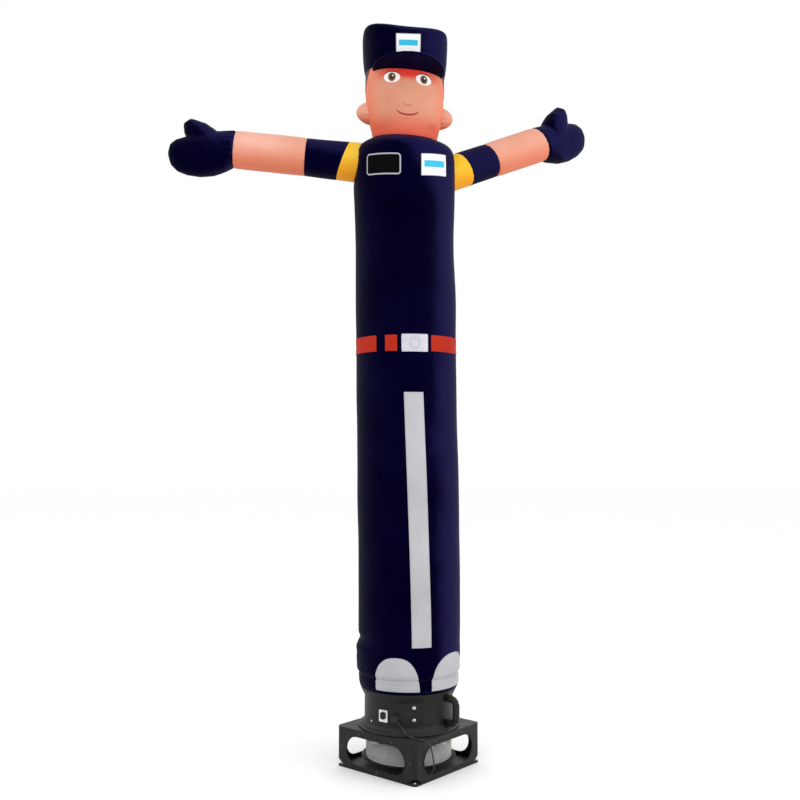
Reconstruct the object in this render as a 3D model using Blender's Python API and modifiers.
"""Inflatable air dancer on its fan blower.

A sewn cloth man with outstretched arms stands on a square fan base. Metres, +Z up, the figure
faces -Y, and the origin is on the floor under the middle of the blower. Angles round the figure
(bearings) are in degrees from -Y towards +X.
"""

import math

import bmesh
import bpy
from mathutils import Matrix, Vector

# ---- driving dimensions, metres -----------------------------------------------------------
GAP = 0.0003  # clearance between pieces that touch
CLOTH = 0.0015  # built thickness of a cloth panel
PATCH = 0.0012  # built thickness of a piece sewn flat on the cloth
SIDES = 32  # facets round the body tube
ARM_SIDES = 18

HEM_Z = 0.380  # lower edge of the cloth, on the collar
WAIST_Z = 2.013  # seam between trousers and shirt, under the belt
NECK_Z = 3.043  # seam between shirt and head
CROWN_Z = 0.312  # seam between head and cap, above the neck
# Each seam of the head slants: it falls this much for each metre to +X and to the front.
NECK_SLANT = {"side": 0.035, "front": 0.120}
CROWN_SLANT = {"side": 0.068, "front": 0.030}
HEAD_TURN = -5.0  # the face looks along this bearing
HEAD_X = -0.0185
SHOULDER_Z = 2.960  # the shirt starts to close and slant to the neck here

BASE_TURN = -5.0  # bearing of the base's near corner
BASE_SIDE = 0.488
BASE_TOP = 0.190
PLATE_THICK = 0.008
WALL = 0.004
HOUSING_R = 0.213
LIP_R = 0.2315  # collar lip that the hem fits over
LIP_Z = 0.405
# The housing's outer side from the lip down to the foot flange, as radius and height.
DRUM_SIDE = ((LIP_R, LIP_Z), (LIP_R, 0.374), (HOUSING_R + 0.008, 0.351), (HOUSING_R, 0.338),
             (HOUSING_R, 0.224), (0.229, 0.2085), (0.231, 0.201), (0.243, 0.1985),
             (0.243, BASE_TOP + GAP))
WINDOW = {"length": 0.362, "bottom": 0.026, "top": 0.158, "corner": 0.0655}
CORD_D = 0.007

# Sections of the body tube: height, radius, and sideways lean of its middle.
TROUSERS = (
    {"z": HEM_Z, "r": 0.2346, "x": 0.000},
    {"z": 0.404, "r": 0.2405, "x": 0.000},
    {"z": 0.446, "r": 0.2440, "x": -0.002},
    {"z": 0.505, "r": 0.2505, "x": -0.003},
    {"z": 0.560, "r": 0.2500, "x": 0.000},
    {"z": 0.590, "r": 0.2475, "x": 0.002},
    {"z": 0.690, "r": 0.2480, "x": 0.003},
    {"z": 0.980, "r": 0.2460, "x": 0.002},
    {"z": 1.360, "r": 0.2468, "x": -0.003},
    {"z": 1.750, "r": 0.2452, "x": -0.009},
    {"z": WAIST_Z - GAP / 2, "r": 0.2440, "x": -0.012},
)
SHIRT = (
    {"z": WAIST_Z + GAP / 2, "r": 0.2440, "x": -0.012},
    {"z": 2.250, "r": 0.2460, "x": -0.014},
    {"z": 2.500, "r": 0.2420, "x": -0.019},
    {"z": 2.700, "r": 0.2465, "x": -0.020},
    {"z": 2.830, "r": 0.2500, "x": -0.021},
    {"z": 2.930, "r": 0.2490, "x": -0.021},
    {"z": 2.970, "r": 0.2430, "x": -0.021},
    {"z": 2.998, "r": 0.2290, "x": -0.020},
    {"z": 3.016, "r": 0.2080, "x": -0.019},
    {"z": NECK_Z, "r": 0.1590, "x": HEAD_X},
)
# Sections of the head and cap: height above the neck seam, half width, squareness.
HEAD = (
    {"h": GAP, "r": 0.1588, "n": 2.0},
    {"h": 0.022, "r": 0.1625, "n": 2.0},
    {"h": 0.060, "r": 0.1715, "n": 2.05},
    {"h": 0.108, "r": 0.1825, "n": 2.1},
    {"h": 0.158, "r": 0.1905, "n": 2.15},
    {"h": 0.225, "r": 0.1942, "n": 2.2},
    {"h": CROWN_Z - GAP, "r": 0.1932, "n": 2.25},
)
CAP = (
    {"h": CROWN_Z, "r": 0.1945, "n": 2.3},
    {"h": 0.340, "r": 0.2010, "n": 2.4},
    {"h": 0.385, "r": 0.2065, "n": 2.5},
    {"h": 0.440, "r": 0.2085, "n": 2.6},
    {"h": 0.470, "r": 0.2080, "n": 2.9},
    {"h": 0.491, "r": 0.2020, "n": 3.2},
    {"h": 0.503, "r": 0.1860, "n": 3.1},
    {"h": 0.509, "r": 0.1450, "n": 2.8},
    {"h": 0.508, "r": 0.0700, "n": 2.3},
)
CAP_TOP_H = 0.506
CAP_EAR_FROM = 0.460
CAP_EAR = 0.024  # the crown's top stands this much higher at its two sides than in the middle
CAP_HALF = 0.205

# The arms: bearing, height of the axis at the body's middle, rise per metre of reach, the reach of
# each seam from the body's middle, and the radius at the shoulder and at two of the seams. slants
# move the top of each seam inwards. The hand has a bearing and a rise of its own, and thumb_back is
# how much nearer to the cuff its thumb is.
ARMS = (
    {"side": "left", "bearing": -97.0, "z": 2.9085, "rise": 0.093,
     "mitt_bearing": -97.0, "mitt_rise": -0.02,
     "gusset": 0.302, "sleeve": 0.486, "cuff": 0.832, "slants": (-0.026, 0.0, 0.0),
     "thumb_back": 0.0,
     "shoulder_r": 0.0970, "gusset_r": 0.0950, "sleeve_r": 0.0912},
    {"side": "right", "bearing": 107.0, "z": 2.800, "rise": 0.415,
     "mitt_bearing": 113.0, "mitt_rise": 0.40,
     "gusset": 0.331, "sleeve": 0.490, "cuff": 0.793, "slants": (-0.013, -0.010, -0.010),
     "thumb_back": 0.014,
     "shoulder_r": 0.0880, "gusset_r": 0.0885, "sleeve_r": 0.0892},
)
CUFF_R = 0.0900
# Sections of a mitt: reach past the cuff, middle of its height, half height and half depth.
MITT = (
    {"s": 0.000, "up": 0.000, "high": CUFF_R, "deep": CUFF_R},
    {"s": 0.045, "up": -0.008, "high": 0.0960, "deep": 0.0880},
    {"s": 0.110, "up": -0.019, "high": 0.1070, "deep": 0.0840},
    {"s": 0.180, "up": -0.0265, "high": 0.1045, "deep": 0.0780},
    {"s": 0.240, "up": -0.0295, "high": 0.0920, "deep": 0.0700},
    {"s": 0.285, "up": -0.0255, "high": 0.0770, "deep": 0.0560},
    {"s": 0.313, "up": -0.0200, "high": 0.0510, "deep": 0.0370},
)
MITT_END = {"s": 0.328, "up": -0.016}
# Sections of the thumb, from inside the palm to its tip.
THUMB = (
    {"s": 0.100, "up": 0.000, "r": 0.0720}, {"s": 0.130, "up": 0.030, "r": 0.0760},
    {"s": 0.158, "up": 0.062, "r": 0.0700}, {"s": 0.186, "up": 0.092, "r": 0.0600},
    {"s": 0.208, "up": 0.115, "r": 0.0485}, {"s": 0.216, "up": 0.138, "r": 0.0360},
)
THUMB_END = {"s": 0.218, "up": 0.1585}

# Pieces sewn flat on the tube: bearings of the two edges and heights of the two ends.
# rise is how much a patch climbs for each degree of bearing, and out is its back's stand-off.
BELT = {"half": 0.038, "wrap_from": 18.9, "wrap_to": 360 - 44.7, "front_from": -33.7,
        "front_to": -19.8, "buckle_half_deg": 15.0, "buckle_half": 0.0415}
STRIPE = {"top": 1.782, "bottom": 0.599, "bearing_top": -2.1, "bearing_bottom": 3.8,
          "half_width": 0.0465}
SHOES = (
    {"side": "left", "bearing": -23.5, "half_deg": 26.0, "top": 0.553},
    {"side": "right", "bearing": 46.5, "half_deg": 30.0, "top": 0.560},
)
SHOE_Z = 0.396
PATCHES = (
    {"name": "name_patch", "from": -55.1, "to": -13.2, "low": 2.812, "high": 2.915, "round": 0.018,
     "rise": -0.00033},
    {"name": "chest_patch", "from": 8.9, "to": 42.9, "low": 2.812, "high": 2.917, "round": 0.003,
     "rise": 0.00048},
)
CAP_PATCH = {"half_deg": 16.0, "low": 0.366, "high": 0.458, "rise": 0.00022, "out": 0.0007}

EAR = {"height": 0.116, "depth": 0.090, "root": 0.157, "dome": 0.083, "h": 0.124, "drop": -0.001}
# Bearings of each hair wedge's front corner, its lowest tip and its back corner.
HAIR = {"tall": 0.088, "front_left": 63.5, "front_right": 57.0, "tip": 90.0, "back": 108.0,
        "under_visor": 0.028}  # under_visor is how far its front is cut down below the visor's end
VISOR = {"turn": 3.0, "half_deg": 58.0, "reach": 0.140, "lift": 0.026, "thick": 0.020, "h": 0.297}

HANDLE = {"bearing": 45.0, "low": 0.2290, "high": 0.3425, "out": 0.0580, "r": 0.0165}
SWITCH = {"bearing": -43.0, "z": 0.274, "wide": 0.048, "tall": 0.056, "thick": 0.005}
GLAND = {"bearing": -26.4, "z": 0.268, "r": 0.0185, "long": 0.026}
HOUSING_SCREWS = ({"name": "screw_upper", "bearing": -3.1, "z": 0.318, "r": 0.0090},
                  {"name": "screw_lower", "bearing": -3.1, "z": 0.262, "r": 0.0090},
                  {"name": "screw_side", "bearing": -64.5, "z": 0.236, "r": 0.0060})

# The mains lead's own points. On the housing they are bearing, radius, height; round the base they
# are metres out from the middle along the right front wall's facing, metres towards the near
# corner, and height.
LEAD_OVER_FOOT = ((-13.5, 0.2450, 0.2110), (-8.5, 0.2550, 0.2000), (-4.5, 0.2690, 0.1945))
LEAD_ROUND_BASE = (
    (0.2190, 0.1850, 0.1942), (0.2450, 0.1780, 0.1935), (0.2625, 0.1715, 0.1840),
    (0.2710, 0.1650, 0.1650), (0.2730, 0.1580, 0.1350), (0.2730, 0.1500, 0.1050),
    (0.2710, 0.1440, 0.0780), (0.2610, 0.1380, 0.0540), (0.2410, 0.1320, 0.0375),
    (0.2140, 0.1270, 0.0250), (0.1850, 0.1220, 0.0160), (0.1530, 0.1160, 0.0122),
    (0.1000, 0.0950, 0.0120), (0.0400, 0.0600, 0.0120), (-0.0300, 0.0150, 0.0120),
    (-0.1000, -0.0350, 0.0120), (-0.1560, -0.0700, 0.0135), (-0.1940, -0.0930, 0.0205),
    (-0.2200, -0.1080, 0.0298), (-0.2450, -0.1220, 0.0328), (-0.2690, -0.1390, 0.0285),
    (-0.2900, -0.1600, 0.0180), (-0.3050, -0.1840, 0.0085), (-0.3130, -0.2100, 0.0043),
    (-0.3160, -0.2360, 0.0040))
COIL = {"inner": 0.0315, "outer": 0.0455, "tall": 0.0142}
RELIEF = {"long": 0.024, "r": 0.0075, "end_r": 0.0050}
PLUG = {"long": 0.040, "wide": 0.032, "tall": 0.022, "pin_r": 0.0024, "pin_long": 0.019,
        "pin_apart": 0.019, "tail": 0.030}

for stale in list(bpy.data.objects):
    bpy.data.objects.remove(stale, do_unlink=True)

PARTS = bpy.data.collections.new("air_dancer")
CUTTERS = bpy.data.collections.new("cutters")
bpy.context.scene.collection.children.link(PARTS)
bpy.context.scene.collection.children.link(CUTTERS)


# ---- helpers ------------------------------------------------------------------------------
def material(name, colour, roughness, metallic=0.0):
    """A Principled material in one plain colour."""
    mat = bpy.data.materials.new(name)
    mat.use_nodes = True
    shader = mat.node_tree.nodes["Principled BSDF"]
    shader.inputs["Base Color"].default_value = (*colour, 1.0)
    shader.inputs["Roughness"].default_value = roughness
    shader.inputs["Metallic"].default_value = metallic
    return mat


NAVY = material("navy_cloth", (0.007, 0.006, 0.045), 0.55)
PEACH = material("peach_cloth", (0.76, 0.26, 0.19), 0.55)
YELLOW = material("yellow_cloth", (0.90, 0.55, 0.05), 0.55)
RED = material("red_cloth", (0.60, 0.04, 0.02), 0.55)
PALE = material("pale_grey_cloth", (0.50, 0.50, 0.57), 0.55)
WHITE = material("white_cloth", (0.85, 0.85, 0.85), 0.55)
BLACK = material("black_cloth", (0.006, 0.006, 0.006), 0.55)
BROWN = material("brown_cloth", (0.09, 0.05, 0.045), 0.6)
PLASTIC = material("charcoal_plastic", (0.020, 0.020, 0.018), 0.45)
MESH = material("grey_wire_mesh", (0.16, 0.17, 0.15), 0.4, 0.8)
STEEL = material("screw_steel", (0.55, 0.55, 0.55), 0.3, 1.0)
RUBBER = material("black_rubber", (0.010, 0.010, 0.010), 0.6)


def put(name, mesh, mat, collection=PARTS):
    """An object for a mesh, in its collection and with its material."""
    piece = bpy.data.objects.new(name, mesh)
    collection.objects.link(piece)
    if mat:
        mesh.materials.append(mat)
    if collection is CUTTERS:
        piece.hide_render = True
        piece.display_type = "WIRE"
    return piece


def from_bmesh(name, bm, mat, collection=PARTS):
    mesh = bpy.data.meshes.new(name)
    bm.to_mesh(mesh)
    bm.free()
    return put(name, mesh, mat, collection)


def smooth(piece, angle=35.0):
    piece.data.shade_smooth()
    piece.data.set_sharp_from_angle(angle=math.radians(angle))
    return piece


def thicken(piece, thickness, inward=True):
    """Give an open surface its thickness, inwards or outwards."""
    solid = piece.modifiers.new("thickness", "SOLIDIFY")
    solid.thickness = thickness
    solid.offset = -1.0 if inward else 1.0
    solid.use_even_offset = True
    solid.use_quality_normals = True
    return piece


def boolean(piece, cutter, operation="DIFFERENCE"):
    mod = piece.modifiers.new(operation.lower(), "BOOLEAN")
    mod.operation = operation
    mod.object = cutter
    mod.solver = "EXACT"
    return piece


def bearing_dir(bearing):
    """The level direction of a bearing, from -Y towards +X."""
    a = math.radians(bearing)
    return Vector((math.sin(a), -math.cos(a), 0.0))


def ring(middle, axis, first, high, deep, count, square=2.0):
    """A closed section round axis. high is its half size along first, deep across it."""
    axis = axis.normalized()
    first = (first - axis * first.dot(axis)).normalized()
    across = axis.cross(first)
    points = []
    for i in range(count):
        a = 2 * math.pi * i / count
        c, s = math.cos(a), math.sin(a)
        swell = (abs(c) ** square + abs(s) ** square) ** (-1 / square)
        points.append(middle + first * (high * swell * c) + across * (deep * swell * s))
    return points


def loft(name, rings, mat, start=None, end=None, collection=PARTS):
    """A surface through sections of equal point counts.

    start and end are poles that close it; True caps that end flat, and None leaves it open.
    """
    bm = bmesh.new()
    rows = [[bm.verts.new(p) for p in points] for points in rings]
    count = len(rows[0])
    for low, top in zip(rows, rows[1:]):
        for i in range(count):
            j = (i + 1) % count
            bm.faces.new((low[i], low[j], top[j], top[i]))
    for row, pole, flip in ((rows[0], start, True), (rows[-1], end, False)):
        if pole is None:
            continue
        if pole is True:
            bm.faces.new(row[::-1] if flip else row)
            continue
        tip = bm.verts.new(pole)
        for i in range(count):
            j = (i + 1) % count
            bm.faces.new((row[j], row[i], tip) if flip else (row[i], row[j], tip))
    bmesh.ops.recalc_face_normals(bm, faces=bm.faces) if start or end else None
    return smooth(from_bmesh(name, bm, mat, collection))


# ---- body tube ----------------------------------------------------------------------------
def slanted(point, h):
    """A point of the head dropped by the slant that its seams have at a height above the neck."""
    share = min(1.0, max(0.0, h / CROWN_Z))
    side = NECK_SLANT["side"] + share * (CROWN_SLANT["side"] - NECK_SLANT["side"])
    front = NECK_SLANT["front"] + share * (CROWN_SLANT["front"] - NECK_SLANT["front"])
    return point + Vector((0, 0, point.y * front - (point.x - HEAD_X) * side))


def body_rings(table, grow=0.0):
    """The sections of the body tube, made wider all round by grow. The neck slants as the head does."""
    rings = []
    for row in table:
        half = row["r"] + grow
        points = ring(Vector((row["x"], 0, row["z"])), Vector((0, 0, 1)), Vector((0, -1, 0)), half,
                      half, SIDES)
        share = max(0.0, (row["z"] - SHOULDER_Z) / (NECK_Z - SHOULDER_Z))
        rings.append([p.lerp(slanted(p, 0.0), share) for p in points])
    return rings


HEAD_PLACE = Matrix.Translation((HEAD_X, 0, NECK_Z)) @ Matrix.Rotation(math.radians(HEAD_TURN), 4, "Z")


def head_rings(table, grow=0.0):
    """The sections of the head or cap, turned as the head is and slanted as its seams are."""
    rings = []
    for row in table:
        half = row["r"] + grow
        flat = ring(Vector((0, 0, row["h"])), Vector((0, 0, 1)), Vector((0, -1, 0)), half, half,
                    SIDES, row["n"])
        if row["h"] > CAP_EAR_FROM:
            flat = [p + Vector((0, 0, CAP_EAR * (p.x / CAP_HALF) ** 2)) for p in flat]
        rings.append([slanted(HEAD_PLACE @ p, row["h"]) for p in flat])
    return rings


class Skin:
    """A faceted tube that pieces are sewn on, read at a bearing and a height."""

    def __init__(self, heights, rings):
        self.heights = heights
        self.rings = rings

    def point(self, bearing, height, out=GAP):
        at = (bearing / 360.0 * SIDES) % SIDES
        i = int(at + 1e-6) % SIDES
        j = (i + 1) % SIDES
        side = max(0.0, at - int(at + 1e-6))
        k = 0
        while k < len(self.heights) - 2 and height > self.heights[k + 1]:
            k += 1
        up = (height - self.heights[k]) / (self.heights[k + 1] - self.heights[k])
        low, top = self.rings[k], self.rings[k + 1]
        spot = low[i].lerp(low[j], side).lerp(top[i].lerp(top[j], side), up)
        slope = top[i].lerp(top[j], side) - low[i].lerp(low[j], side)
        normal = (low[j] - low[i]).cross(slope).normalized()
        return spot + normal * out


def sewn_on(name, outline, skin, mat, thickness=PATCH, out=GAP):
    """A piece cut to outline, (bearing, height) pairs, and laid on the facets of a skin."""
    bm = bmesh.new()
    bm.faces.new([bm.verts.new((b, z, 0)) for b, z in outline])
    step = 360.0 / SIDES
    bearings = [b for b, z in outline]
    first, last = math.ceil(min(bearings) / step), math.floor(max(bearings) / step)
    lines = [((i * step, 0, 0), (1, 0, 0)) for i in range(first, last + 1)]
    lines += [((0, z, 0), (0, 1, 0)) for z in skin.heights]
    for spot, normal in lines:
        geom = bm.verts[:] + bm.edges[:] + bm.faces[:]
        bmesh.ops.bisect_plane(bm, geom=geom, dist=1e-6, plane_co=spot, plane_no=normal)
    bmesh.ops.remove_doubles(bm, verts=bm.verts[:], dist=1e-5)
    for vert in bm.verts:
        vert.co = skin.point(vert.co.x, vert.co.y, out)
    bmesh.ops.recalc_face_normals(bm, faces=bm.faces[:])
    face = bm.faces[:][0]
    centre = face.calc_center_median()
    if face.normal.dot(Vector((centre.x - HEAD_X, centre.y, 0))) < 0:
        bmesh.ops.reverse_faces(bm, faces=bm.faces[:])
    piece = from_bmesh(name, bm, mat)
    return thicken(smooth(piece), thickness, inward=False)


def rounded(low_b, high_b, low_z, high_z, radius, steps=3):
    """A rounded oblong on the tube, as (bearing, height) pairs."""
    per_deg = math.radians(1) * 0.247
    wide = radius / per_deg
    corners = ((high_b - wide, low_z + radius, -90), (high_b - wide, high_z - radius, 0),
               (low_b + wide, high_z - radius, 90), (low_b + wide, low_z + radius, 180))
    outline = []
    for b, z, start in corners:
        for k in range(steps + 1):
            a = math.radians(start + 90.0 * k / steps)
            outline.append((b + wide * math.cos(a), z + radius * math.sin(a)))
    return outline


def leaned(outline, middle, rise):
    """An outline that rises by this much for each degree of bearing from its middle."""
    return [(b, z + rise * (b - middle)) for b, z in outline]


TROUSER_SKIN = Skin([row["z"] for row in TROUSERS], body_rings(TROUSERS))
SHIRT_SKIN = Skin([row["z"] for row in SHIRT], body_rings(SHIRT))
WHOLE_SKIN = Skin([row["z"] for row in TROUSERS[:-1] + SHIRT], body_rings(TROUSERS[:-1] + SHIRT))
HEAD_SKIN = Skin([row["h"] for row in HEAD], head_rings(HEAD))
CAP_SKIN = Skin([row["h"] for row in CAP[:6]], head_rings(CAP[:6]))


def body_tube():
    """Trousers and shirt, with an armhole at each shoulder."""
    thicken(loft("leg_tube", TROUSER_SKIN.rings, NAVY), CLOTH)
    torso = thicken(loft("torso_tube", SHIRT_SKIN.rings, NAVY), CLOTH)
    for arm in ARMS:
        boolean(torso, arm_cutter(arm))


# ---- arms ---------------------------------------------------------------------------------
def arm_axis(arm):
    level = bearing_dir(arm["bearing"])
    start = Vector((-0.0210, 0, arm["z"]))
    return start, (level + Vector((0, 0, arm["rise"]))).normalized(), level


def arm_ring(arm, reach, radius, slant=0.0):
    """A section of the arm at a level reach from the body's middle."""
    start, axis, level = arm_axis(arm)
    middle = start + axis * (reach / axis.dot(level))
    points = ring(middle, axis, Vector((0, 0, 1)), radius, radius, ARM_SIDES)
    return [p + axis * (slant * (p - middle).z / radius) for p in points]


def arm_cutter(arm):
    """The air way from the shirt into the sleeve."""
    inner = arm["shoulder_r"] - CLOTH
    rings = [arm_ring(arm, reach, inner) for reach in (0.100, 0.400)]
    return loft("armhole_" + arm["side"], rings, None, True, True, CUTTERS)


def shirt_block():
    """The shirt's outside as one block, a gap wider, that the sleeve roots are trimmed to."""
    return loft("shirt_block", body_rings(SHIRT, GAP), None, True, True, CUTTERS)


def arms(block):
    for arm in ARMS:
        side = arm["side"]
        half = GAP / 2
        at_gusset, at_sleeve, at_cuff = arm["slants"]
        gusset = [arm_ring(arm, 0.150, arm["shoulder_r"] + 0.001),
                  arm_ring(arm, 0.245, arm["shoulder_r"], 0.5 * at_gusset),
                  arm_ring(arm, arm["gusset"] - half, arm["gusset_r"], at_gusset)]
        boolean(thicken(loft("gusset_" + side, gusset, YELLOW), CLOTH), block)
        sleeve = [arm_ring(arm, arm["gusset"] + half, arm["gusset_r"], at_gusset),
                  arm_ring(arm, 0.5 * (arm["gusset"] + arm["sleeve"]),
                           0.5 * (arm["gusset_r"] + arm["sleeve_r"]), 0.5 * at_sleeve),
                  arm_ring(arm, arm["sleeve"] - half, arm["sleeve_r"], at_sleeve)]
        piece = thicken(loft("sleeve_" + side, sleeve, NAVY), CLOTH)
        if side == "right":
            boolean(piece, block)
        long = arm["cuff"] - arm["sleeve"]
        forearm = [arm_ring(arm, arm["sleeve"] + half, arm["sleeve_r"], at_sleeve)]
        for share in (0.15, 0.55, 0.88):
            radius = arm["sleeve_r"] * (1 - share) + CUFF_R * share + 0.0014
            slant = at_sleeve * (1 - share) + at_cuff * share
            forearm.append(arm_ring(arm, arm["sleeve"] + share * long, radius, slant))
        forearm.append(arm_ring(arm, arm["cuff"] - half, CUFF_R, at_cuff))
        thicken(loft("forearm_" + side, forearm, PEACH), CLOTH)
        mitt(arm)


def mitt(arm):
    """A mitten hand with its thumb up: a puffed palm and thumb as one hollow skin."""
    side = arm["side"]
    start, axis, level = arm_axis(arm)
    cuff = start + axis * (arm["cuff"] / axis.dot(level)) + axis * (GAP / 2)
    along = (bearing_dir(arm["mitt_bearing"]) + Vector((0, 0, arm["mitt_rise"]))).normalized()
    up = (Vector((0, 0, 1)) - along * along.z).normalized()
    front = -0.012 * up.cross(along)

    def place(row, lean=0.0):
        return cuff + along * row["s"] + up * row["up"] + front * lean

    def thumb_place(row):
        return place(row, 1.0) - along * arm["thumb_back"]

    def palm_rings(shrink):
        rings = []
        for row in MITT:
            turn = axis if row["s"] == 0 else along
            rings.append(ring(place(row), turn, up, row["high"] - shrink, row["deep"] - shrink,
                              ARM_SIDES, 2.1))
        slant = arm["slants"][2] / CUFF_R
        rings[0] = [p + axis * (slant * (p - cuff).z) for p in rings[0]]
        return rings

    def thumb_rings(shrink):
        rings = []
        for k, row in enumerate(THUMB):
            after = THUMB[min(k + 1, len(THUMB) - 1)]
            before = THUMB[max(k - 1, 0)]
            turn = place(after) - place(before)
            rings.append(ring(thumb_place(row), turn, front, row["r"] - shrink,
                              row["r"] - shrink, 14))
        return rings

    tip = place(MITT_END)
    thumb_tip = thumb_place(THUMB_END)
    palm = loft("mitt_" + side, palm_rings(0), NAVY, True, tip)
    thumb = loft("thumb_" + side, thumb_rings(0), None, True, thumb_tip, CUTTERS)
    inner = palm_rings(CLOTH)
    inner.insert(0, [p - axis * 0.01 for p in inner[0]])
    hollow = loft("mitt_hollow_" + side, inner, None, True, tip - along * 2 * CLOTH, CUTTERS)
    pull = (thumb_tip - thumb_place(THUMB[-1])).normalized() * 2 * CLOTH
    thumb_hollow = loft("thumb_hollow_" + side, thumb_rings(CLOTH), None, True,
                        thumb_tip - pull, CUTTERS)
    boolean(palm, thumb, "UNION")
    boolean(palm, hollow)
    boolean(palm, thumb_hollow)


# ---- head and cap -------------------------------------------------------------------------
def head_block(grow):
    rings = head_rings(HEAD, grow)
    return loft("head_block", rings, None, True, True, CUTTERS)


def head_and_cap():
    thicken(loft("head", HEAD_SKIN.rings, PEACH), CLOTH)
    top = slanted(HEAD_PLACE @ Vector((0, 0, CAP_TOP_H)), CAP_TOP_H)
    thicken(loft("cap_crown", head_rings(CAP), NAVY, None, top), CLOTH)


def ears(block):
    """Two puffed half-round ears, open to the head."""
    for side, sign in (("left", -1), ("right", 1)):
        reach = EAR["root"]
        level = EAR["h"] - sign * EAR["drop"]
        rings = []
        for k in range(5):
            a = math.radians(18.0 * k)
            out = reach + EAR["dome"] * math.sin(a)
            middle = Vector((sign * out, 0.004, level))
            rings.append(ring(middle, Vector((sign, 0, 0)), Vector((0, 0, 1)),
                              EAR["height"] / 2 * math.cos(a), EAR["depth"] / 2 * math.cos(a), 16))
        tip = Vector((sign * (reach + EAR["dome"]), 0.004, level))
        ear = loft("ear_" + side, rings, PEACH, None, tip)
        for vert in ear.data.vertices:
            vert.co = slanted(HEAD_PLACE @ vert.co, level)
        boolean(thicken(ear, CLOTH), block)


def hair():
    """A brown wedge at each temple, under the cap's edge."""
    top = CROWN_Z - 0.004
    for side, sign in (("left", -1), ("right", 1)):
        front = HAIR["front_" + side]
        visor_end = VISOR["half_deg"] + sign * VISOR["turn"] + 3.0
        corners = [(front, top)]
        if front < visor_end:
            below = top - HAIR["under_visor"]
            corners = [(front, below), (visor_end, below), (visor_end, top)]
        corners += [(HAIR["back"], top), (HAIR["back"] - 4.0, top - 0.5 * HAIR["tall"]),
                    (HAIR["tip"], top - HAIR["tall"])]
        outline = [(sign * bearing, height) for bearing, height in corners]
        sewn_on("hair_" + side, outline, HEAD_SKIN, BROWN)


def visor(block):
    """A padded crescent along the front of the cap's seam, tipped up a little."""
    rings = []
    steps = 12
    for k in range(steps + 1):
        share = 2.0 * k / steps - 1.0
        bearing = VISOR["turn"] + VISOR["half_deg"] * share
        reach = max(0.012, VISOR["reach"] * math.cos(math.radians(88 * share)) ** 0.85)
        thick = VISOR["thick"] * (0.35 + 0.65 * math.cos(math.radians(80 * share)))
        root = HEAD_SKIN.point(bearing, VISOR["h"], -0.004)
        ahead = bearing_dir(HEAD_TURN).lerp(bearing_dir(bearing + HEAD_TURN), 0.55).normalized()
        lift = VISOR["lift"] * reach / VISOR["reach"]
        tip = root + ahead * reach + Vector((0, 0, lift))
        middle = root.lerp(tip, 0.5) + Vector((0, 0, 0.006 * reach / VISOR["reach"]))
        half = Vector((0, 0, thick / 2))
        belly = 0.72
        rings.append([root - half * 0.7, middle - half, tip - half * belly,
                      tip + ahead * 0.004, tip + half * belly, middle + half, root + half * 0.7])
    piece = loft("cap_visor", rings, NAVY, True, True)
    boolean(piece, block)


def cap_patch():
    half = CAP_PATCH["half_deg"]
    outline = [(-half, CAP_PATCH["low"]), (half, CAP_PATCH["low"]), (half, CAP_PATCH["high"]),
               (-half, CAP_PATCH["high"])]
    sewn_on("cap_patch", leaned(outline, 0.0, CAP_PATCH["rise"]), CAP_SKIN, WHITE, out=CAP_PATCH["out"])


# ---- pieces sewn on the body --------------------------------------------------------------
def belt():
    low, high = WAIST_Z - BELT["half"], WAIST_Z + BELT["half"]

    def strip(start, end, bottom, top):
        return [(start, bottom), (end, bottom), (end, top), (start, top)]

    sewn_on("belt_wrap", strip(BELT["wrap_from"], BELT["wrap_to"], low, high), WHOLE_SKIN, RED)
    sewn_on("belt_front", strip(BELT["front_from"], BELT["front_to"], low, high), WHOLE_SKIN, RED)
    half = BELT["buckle_half_deg"]
    reach = BELT["buckle_half"]
    sewn_on("belt_buckle", strip(-half, half, WAIST_Z - reach, WAIST_Z + reach), WHOLE_SKIN, PALE)


def leg_stripe():
    wide = math.degrees(STRIPE["half_width"] / 0.246)
    top, low = STRIPE["bearing_top"], STRIPE["bearing_bottom"]
    outline = [(low - wide, STRIPE["bottom"]), (low + wide, STRIPE["bottom"]),
               (top + wide, STRIPE["top"]), (top - wide, STRIPE["top"])]
    sewn_on("leg_stripe", outline, TROUSER_SKIN, PALE)


def shoes():
    """Two domes of pale cloth along the hem."""
    for shoe in SHOES:
        tall = shoe["top"] - SHOE_Z
        outline = []
        for k in range(15):
            a = math.pi * k / 14
            across = math.copysign(abs(math.cos(a)) ** 0.8, math.cos(a))
            outline.append((shoe["bearing"] + shoe["half_deg"] * across,
                            SHOE_Z + tall * math.sin(a) ** 0.9))
        sewn_on("shoe_" + shoe["side"], outline, TROUSER_SKIN, PALE)


def chest_patches():
    for patch in PATCHES:
        mat = BLACK if patch["name"] == "name_patch" else WHITE
        outline = rounded(patch["from"], patch["to"], patch["low"], patch["high"], patch["round"])
        middle = (patch["from"] + patch["to"]) / 2
        sewn_on(patch["name"], leaned(outline, middle, patch["rise"]), SHIRT_SKIN, mat)


# ---- blower -------------------------------------------------------------------------------
def box(name, size, place, mat, collection=PARTS):
    """A cube of a real size, at a place given as a matrix."""
    bm = bmesh.new()
    bmesh.ops.create_cube(bm, size=1.0, matrix=Matrix.Diagonal((*size, 1.0)))
    piece = from_bmesh(name, bm, mat, collection)
    piece.data.transform(place)
    return piece


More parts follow.
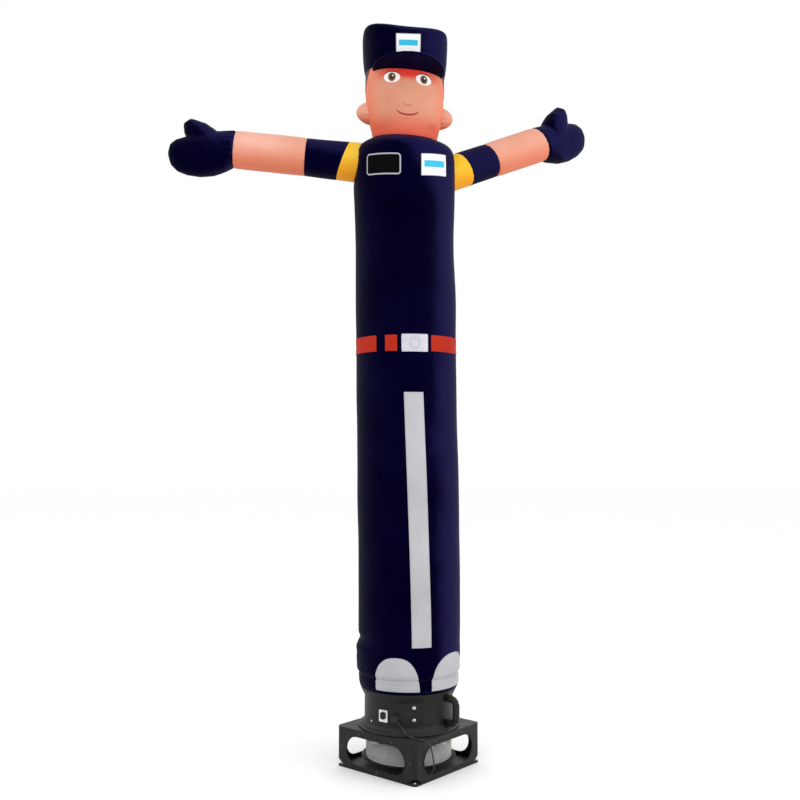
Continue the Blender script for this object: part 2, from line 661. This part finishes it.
def rod(name, radius, end_radius, low, high, place, mat, sides=16, collection=PARTS):
    """A straight or tapered rod along the place's own Z, from low to high."""
    bm = bmesh.new()
    lift = Matrix.Translation((0, 0, (low + high) / 2))
    bmesh.ops.create_cone(bm, cap_ends=True, segments=sides, radius1=radius, radius2=end_radius,
                          depth=high - low, matrix=lift)
    piece = from_bmesh(name, bm, mat, collection)
    piece.data.transform(place)
    return smooth(piece)


def turned(name, profile, mat, steps=40, collection=PARTS):
    """A closed profile of (radius, height) pairs, outer side first from the top, turned about Z."""
    bm = bmesh.new()
    verts = [bm.verts.new((r, 0, z)) for r, z in profile]
    for a, b in zip(verts, verts[1:] + verts[:1]):
        bm.edges.new((a, b))
    piece = from_bmesh(name, bm, mat, collection)
    screw = piece.modifiers.new("turn", "SCREW")
    screw.steps = screw.render_steps = steps
    screw.use_merge_vertices = True
    screw.merge_threshold = 0.0001
    screw.use_smooth_shade = True
    return piece


def out_from(bearing, radius, z):
    """A place on a round wall, its own Z pointing outwards and its own X along the wall."""
    facing = bearing_dir(bearing)
    turn = facing.to_track_quat("Z", "Y").to_matrix().to_4x4()
    return Matrix.Translation(facing * radius + Vector((0, 0, z))) @ turn


BASE_PLACE = Matrix.Rotation(math.radians(BASE_TURN + 45.0), 4, "Z")


def rounded_box(name, size, place, radius, mat, axis=2, collection=PARTS):
    """A box whose edges along one of its axes are rounded."""
    bm = bmesh.new()
    bmesh.ops.create_cube(bm, size=1.0, matrix=Matrix.Diagonal((*size, 1.0)))
    along = [e for e in bm.edges if abs((e.verts[0].co - e.verts[1].co).normalized()[axis]) > 0.9]
    bmesh.ops.bevel(bm, geom=along, offset=radius, segments=4, profile=0.5, affect="EDGES")
    piece = from_bmesh(name, bm, mat, collection)
    piece.data.transform(place)
    return smooth(piece)


def base():
    """The square base: a floor plate, and a box with a wide window in each wall."""
    plate = Matrix.Translation((0, 0, PLATE_THICK / 2))
    rounded_box("base_plate", (BASE_SIDE, BASE_SIDE, PLATE_THICK), BASE_PLACE @ plate, 0.018, PLASTIC)
    low = PLATE_THICK + GAP
    tall = BASE_TOP - low
    middle = BASE_PLACE @ Matrix.Translation((0, 0, low + tall / 2))
    body = rounded_box("base_body", (BASE_SIDE, BASE_SIDE, tall), middle, 0.020, PLASTIC)
    inside = BASE_SIDE - 2 * WALL
    room = BASE_TOP - WALL
    hollow = Matrix.Translation((0, 0, room / 2 - 0.01))
    boolean(body, rounded_box("base_room", (inside, inside, room + 0.02), BASE_PLACE @ hollow, 0.016,
                              None, 2, CUTTERS))
    boolean(body, rod("fan_hole", 0.198, 0.198, room - 0.01, BASE_TOP + 0.01, Matrix.Identity(4), None,
                      48, CUTTERS))
    height = WINDOW["top"] - WINDOW["bottom"]
    mid = (WINDOW["top"] + WINDOW["bottom"]) / 2
    for k, size in enumerate(((BASE_SIDE + 0.1, WINDOW["length"], height),
                              (WINDOW["length"], BASE_SIDE + 0.1, height))):
        cutter = rounded_box(f"window_{k}", size, BASE_PLACE @ Matrix.Translation((0, 0, mid)),
                             WINDOW["corner"], None, k, CUTTERS)
        boolean(body, cutter)
    for k in range(4):
        corner = Matrix.Rotation(math.radians(BASE_TURN + 90.0 * k), 4, "Z")
        notch = corner @ Matrix.Translation((0, -BASE_SIDE * 0.7071, low)) @ Matrix.Rotation(
            math.radians(45), 4, "X")
        boolean(body, box(f"notch_{k}", (0.12, 0.050, 0.050), notch, None, CUTTERS))
        place = corner @ Matrix.Translation((0, -BASE_SIDE * 0.7071 + 0.027, 0))
        rod(f"corner_bolt_{k}", 0.007, 0.0055, PLATE_THICK + GAP, PLATE_THICK + 0.007, place, STEEL, 8)


def housing():
    """The round fan housing: a foot flange, a drum wall and a flared collar with a lip."""
    inner = HOUSING_R - WALL
    turned("fan_housing", [*DRUM_SIDE, (inner, BASE_TOP + GAP), (inner, 0.338),
                           (inner + 0.008, 0.351), (LIP_R - WALL, 0.374), (LIP_R - WALL, LIP_Z)], PLASTIC)


def intake_guard():
    """The wire basket under the fan, an open cup hung from the top of the base, on its foot ring."""
    top = BASE_TOP - WALL - GAP
    turned("intake_guard", [
        (0.206, top), (0.206, 0.052), (0.199, 0.045), (0.0, 0.045), (0.0, 0.047),
        (0.1982, 0.047), (0.204, 0.0528), (0.204, top)], MESH, 32)
    rest = 0.045 - GAP
    turned("guard_ring", [
        (0.226, 0.050), (0.226, 0.046), (0.212, 0.036), (0.186, 0.036), (0.186, rest), (0.196, rest),
        (0.209, 0.041), (0.2235, 0.050)], PLASTIC, 32)


def tube(name, points, radius, mat):
    """A round bar or cord along points, closed at both ends."""
    curve = bpy.data.curves.new(name, "CURVE")
    curve.dimensions = "3D"
    curve.bevel_depth = radius
    curve.bevel_resolution = 2
    curve.use_fill_caps = True
    spline = curve.splines.new("POLY")
    spline.points.add(len(points) - 1)
    for point, spot in zip(spline.points, points):
        point.co = (*spot, 1.0)
    return put(name, curve, mat)


def handle():
    """A round carrying handle like a D, its ends seated on the drum's fillet and flare."""
    facing = bearing_dir(HANDLE["bearing"])
    inside = HOUSING_R - WALL
    tip = HOUSING_R + HANDLE["out"]
    bend = 0.030
    route = [(inside, HANDLE["low"])]
    for z_mid, z_sign, start in ((HANDLE["low"] + bend, -1, True), (HANDLE["high"] - bend, 1, False)):
        arc = []
        for k in range(5):
            a = math.radians(22.5 * k)
            arc.append((tip - bend + bend * math.sin(a), z_mid + z_sign * bend * math.cos(a)))
        route += arc if start else arc[::-1]
    route.append((inside, HANDLE["high"]))
    spots = [facing * reach + Vector((0, 0, z)) for reach, z in route]
    level = facing.cross(Vector((0, 0, 1)))
    rings = []
    for k, spot in enumerate(spots):
        along = spots[min(k + 1, len(spots) - 1)] - spots[max(k - 1, 0)]
        rings.append(ring(spot, along, level, HANDLE["r"], HANDLE["r"], 16))
    grip = loft("handle", rings, PLASTIC, True, True)
    # On the 45 degree fillet the seat stands GAP off the drum, square to it.
    seat = [(r + GAP * 1.45, z) for r, z in DRUM_SIDE] + [(0.0, DRUM_SIDE[-1][1]), (0.0, LIP_Z)]
    boolean(grip, turned("handle_seat", seat, None, 40, CUTTERS))


def fittings():
    """The switch, the cable gland and the screws on the housing."""
    place = out_from(SWITCH["bearing"], HOUSING_R + GAP, SWITCH["z"])
    thick = SWITCH["thick"]
    rounded_box("switch_plate", (SWITCH["wide"], SWITCH["tall"], thick),
                place @ Matrix.Translation((0, 0, thick / 2)), 0.004, STEEL)
    rounded_box("switch_rocker", (0.026, 0.034, 0.007),
                place @ Matrix.Translation((0, 0.002, thick + GAP + 0.0035)), 0.010, PLASTIC)
    gland = out_from(GLAND["bearing"], HOUSING_R + GAP, GLAND["z"])
    rod("cable_gland", GLAND["r"], GLAND["r"] * 0.92, 0, GLAND["long"], gland, RUBBER, 20)
    for screw in HOUSING_SCREWS:
        spot = out_from(screw["bearing"], HOUSING_R + GAP, screw["z"])
        rod(screw["name"], screw["r"], screw["r"] * 0.55, 0, 0.004, spot, STEEL, 12)


# ---- mains lead ---------------------------------------------------------------------------
def smooth_line(points, step):
    """Points about step apart on a smooth curve through the given points."""
    padded = [2 * points[0] - points[1], *points, 2 * points[-1] - points[-2]]
    line = [points[0]]
    for a, b, c, d in zip(padded, padded[1:], padded[2:], padded[3:]):
        count = max(1, round((c - b).length / step))
        for k in range(1, count + 1):
            t = k / count
            line.append(0.5 * (2 * b + (c - a) * t + (2 * a - 5 * b + 4 * c - d) * t * t
                               + (3 * b - a - 3 * c + d) * t ** 3))
    return line


def base_spot(out, across, z):
    """A spot from metres out along the right front wall's facing, metres to the near corner."""
    facing = bearing_dir(BASE_TURN + 45.0)
    return facing * out + bearing_dir(BASE_TURN - 45.0) * across + Vector((0, 0, z))


def mains_lead():
    """Strain relief, the lead over the foot and through the base, its coil and its plug."""
    bearing = GLAND["bearing"]
    middle = bearing_dir(bearing) * (HOUSING_R + GLAND["long"] / 2) + Vector((0, 0, GLAND["z"]))
    a = math.radians(bearing)
    leave = Vector((math.cos(a), math.sin(a), -1.0)).normalized()
    place = Matrix.Translation(middle) @ leave.to_track_quat("Z", "Y").to_matrix().to_4x4()
    low = GLAND["r"] + GAP
    rod("strain_relief", RELIEF["r"], RELIEF["end_r"], low, low + RELIEF["long"], place, RUBBER, 12)
    start = middle + leave * (low + RELIEF["long"] + GAP)
    route = [start, start + leave * 0.010]
    route += [bearing_dir(b) * r + Vector((0, 0, z)) for b, r, z in LEAD_OVER_FOOT]
    route += [base_spot(*row) for row in LEAD_ROUND_BASE]
    tube("power_cord", smooth_line(route, 0.018), CORD_D / 2, RUBBER)

    end = route[-1]
    run = (end - route[-2])
    run.z = 0.0
    run.normalize()
    side = Vector((-run.y, run.x, 0.0))
    turn_r = COIL["outer"] - CORD_D / 2
    clear = math.sqrt(COIL["outer"] ** 2 - (turn_r - CORD_D / 2) ** 2) + 2 * GAP
    centre = end + run * clear + side * turn_r
    coil = turned("cord_coil", [(COIL["outer"], COIL["tall"]), (COIL["outer"], 0.0),
                                (COIL["inner"], 0.0), (COIL["inner"], COIL["tall"])], RUBBER, 28)
    coil.location = (centre.x, centre.y, 0.0)

    leave_coil = end + run * 2 * clear
    leave_coil.z = COIL["tall"] - CORD_D / 2
    plug_at = leave_coil + run * PLUG["tail"]
    plug_at.z = PLUG["tall"] / 2
    tail = [leave_coil, leave_coil + run * 0.006, leave_coil.lerp(plug_at, 0.55),
            plug_at - run * 0.004, plug_at - run * GAP]
    tail[3].z = tail[4].z = plug_at.z
    tube("cord_tail", smooth_line(tail, 0.014), CORD_D / 2, RUBBER)
    turn = Matrix.Translation(plug_at) @ run.to_track_quat("Z", "Y").to_matrix().to_4x4()
    neck = 0.012
    plug = rod("plug", 0.0062, 0.0095, 0, neck + 0.004, turn, RUBBER, 12)
    body = rounded_box("plug_body", (PLUG["wide"], PLUG["tall"], PLUG["long"]),
                       turn @ Matrix.Translation((0, 0, neck + PLUG["long"] / 2)), 0.007, None, 2,
                       CUTTERS)
    boolean(plug, body, "UNION")
    for sign in (-1, 1):
        reach = neck + PLUG["long"]
        shift = turn @ Matrix.Translation((sign * PLUG["pin_apart"] / 2, 0, 0))
        pin = rod(f"plug_pin_{sign}", PLUG["pin_r"], PLUG["pin_r"], reach - 0.004,
                  reach + PLUG["pin_long"], shift, None, 8, CUTTERS)
        boolean(plug, pin, "UNION")


BLOCK = shirt_block()
body_tube()
arms(BLOCK)
HEAD_BLOCK = head_block(GAP)
head_and_cap()
ears(HEAD_BLOCK)
hair()
visor(HEAD_BLOCK)
cap_patch()
belt()
leg_stripe()
shoes()
chest_patches()
base()
housing()
intake_guard()
handle()
fittings()
mains_lead()
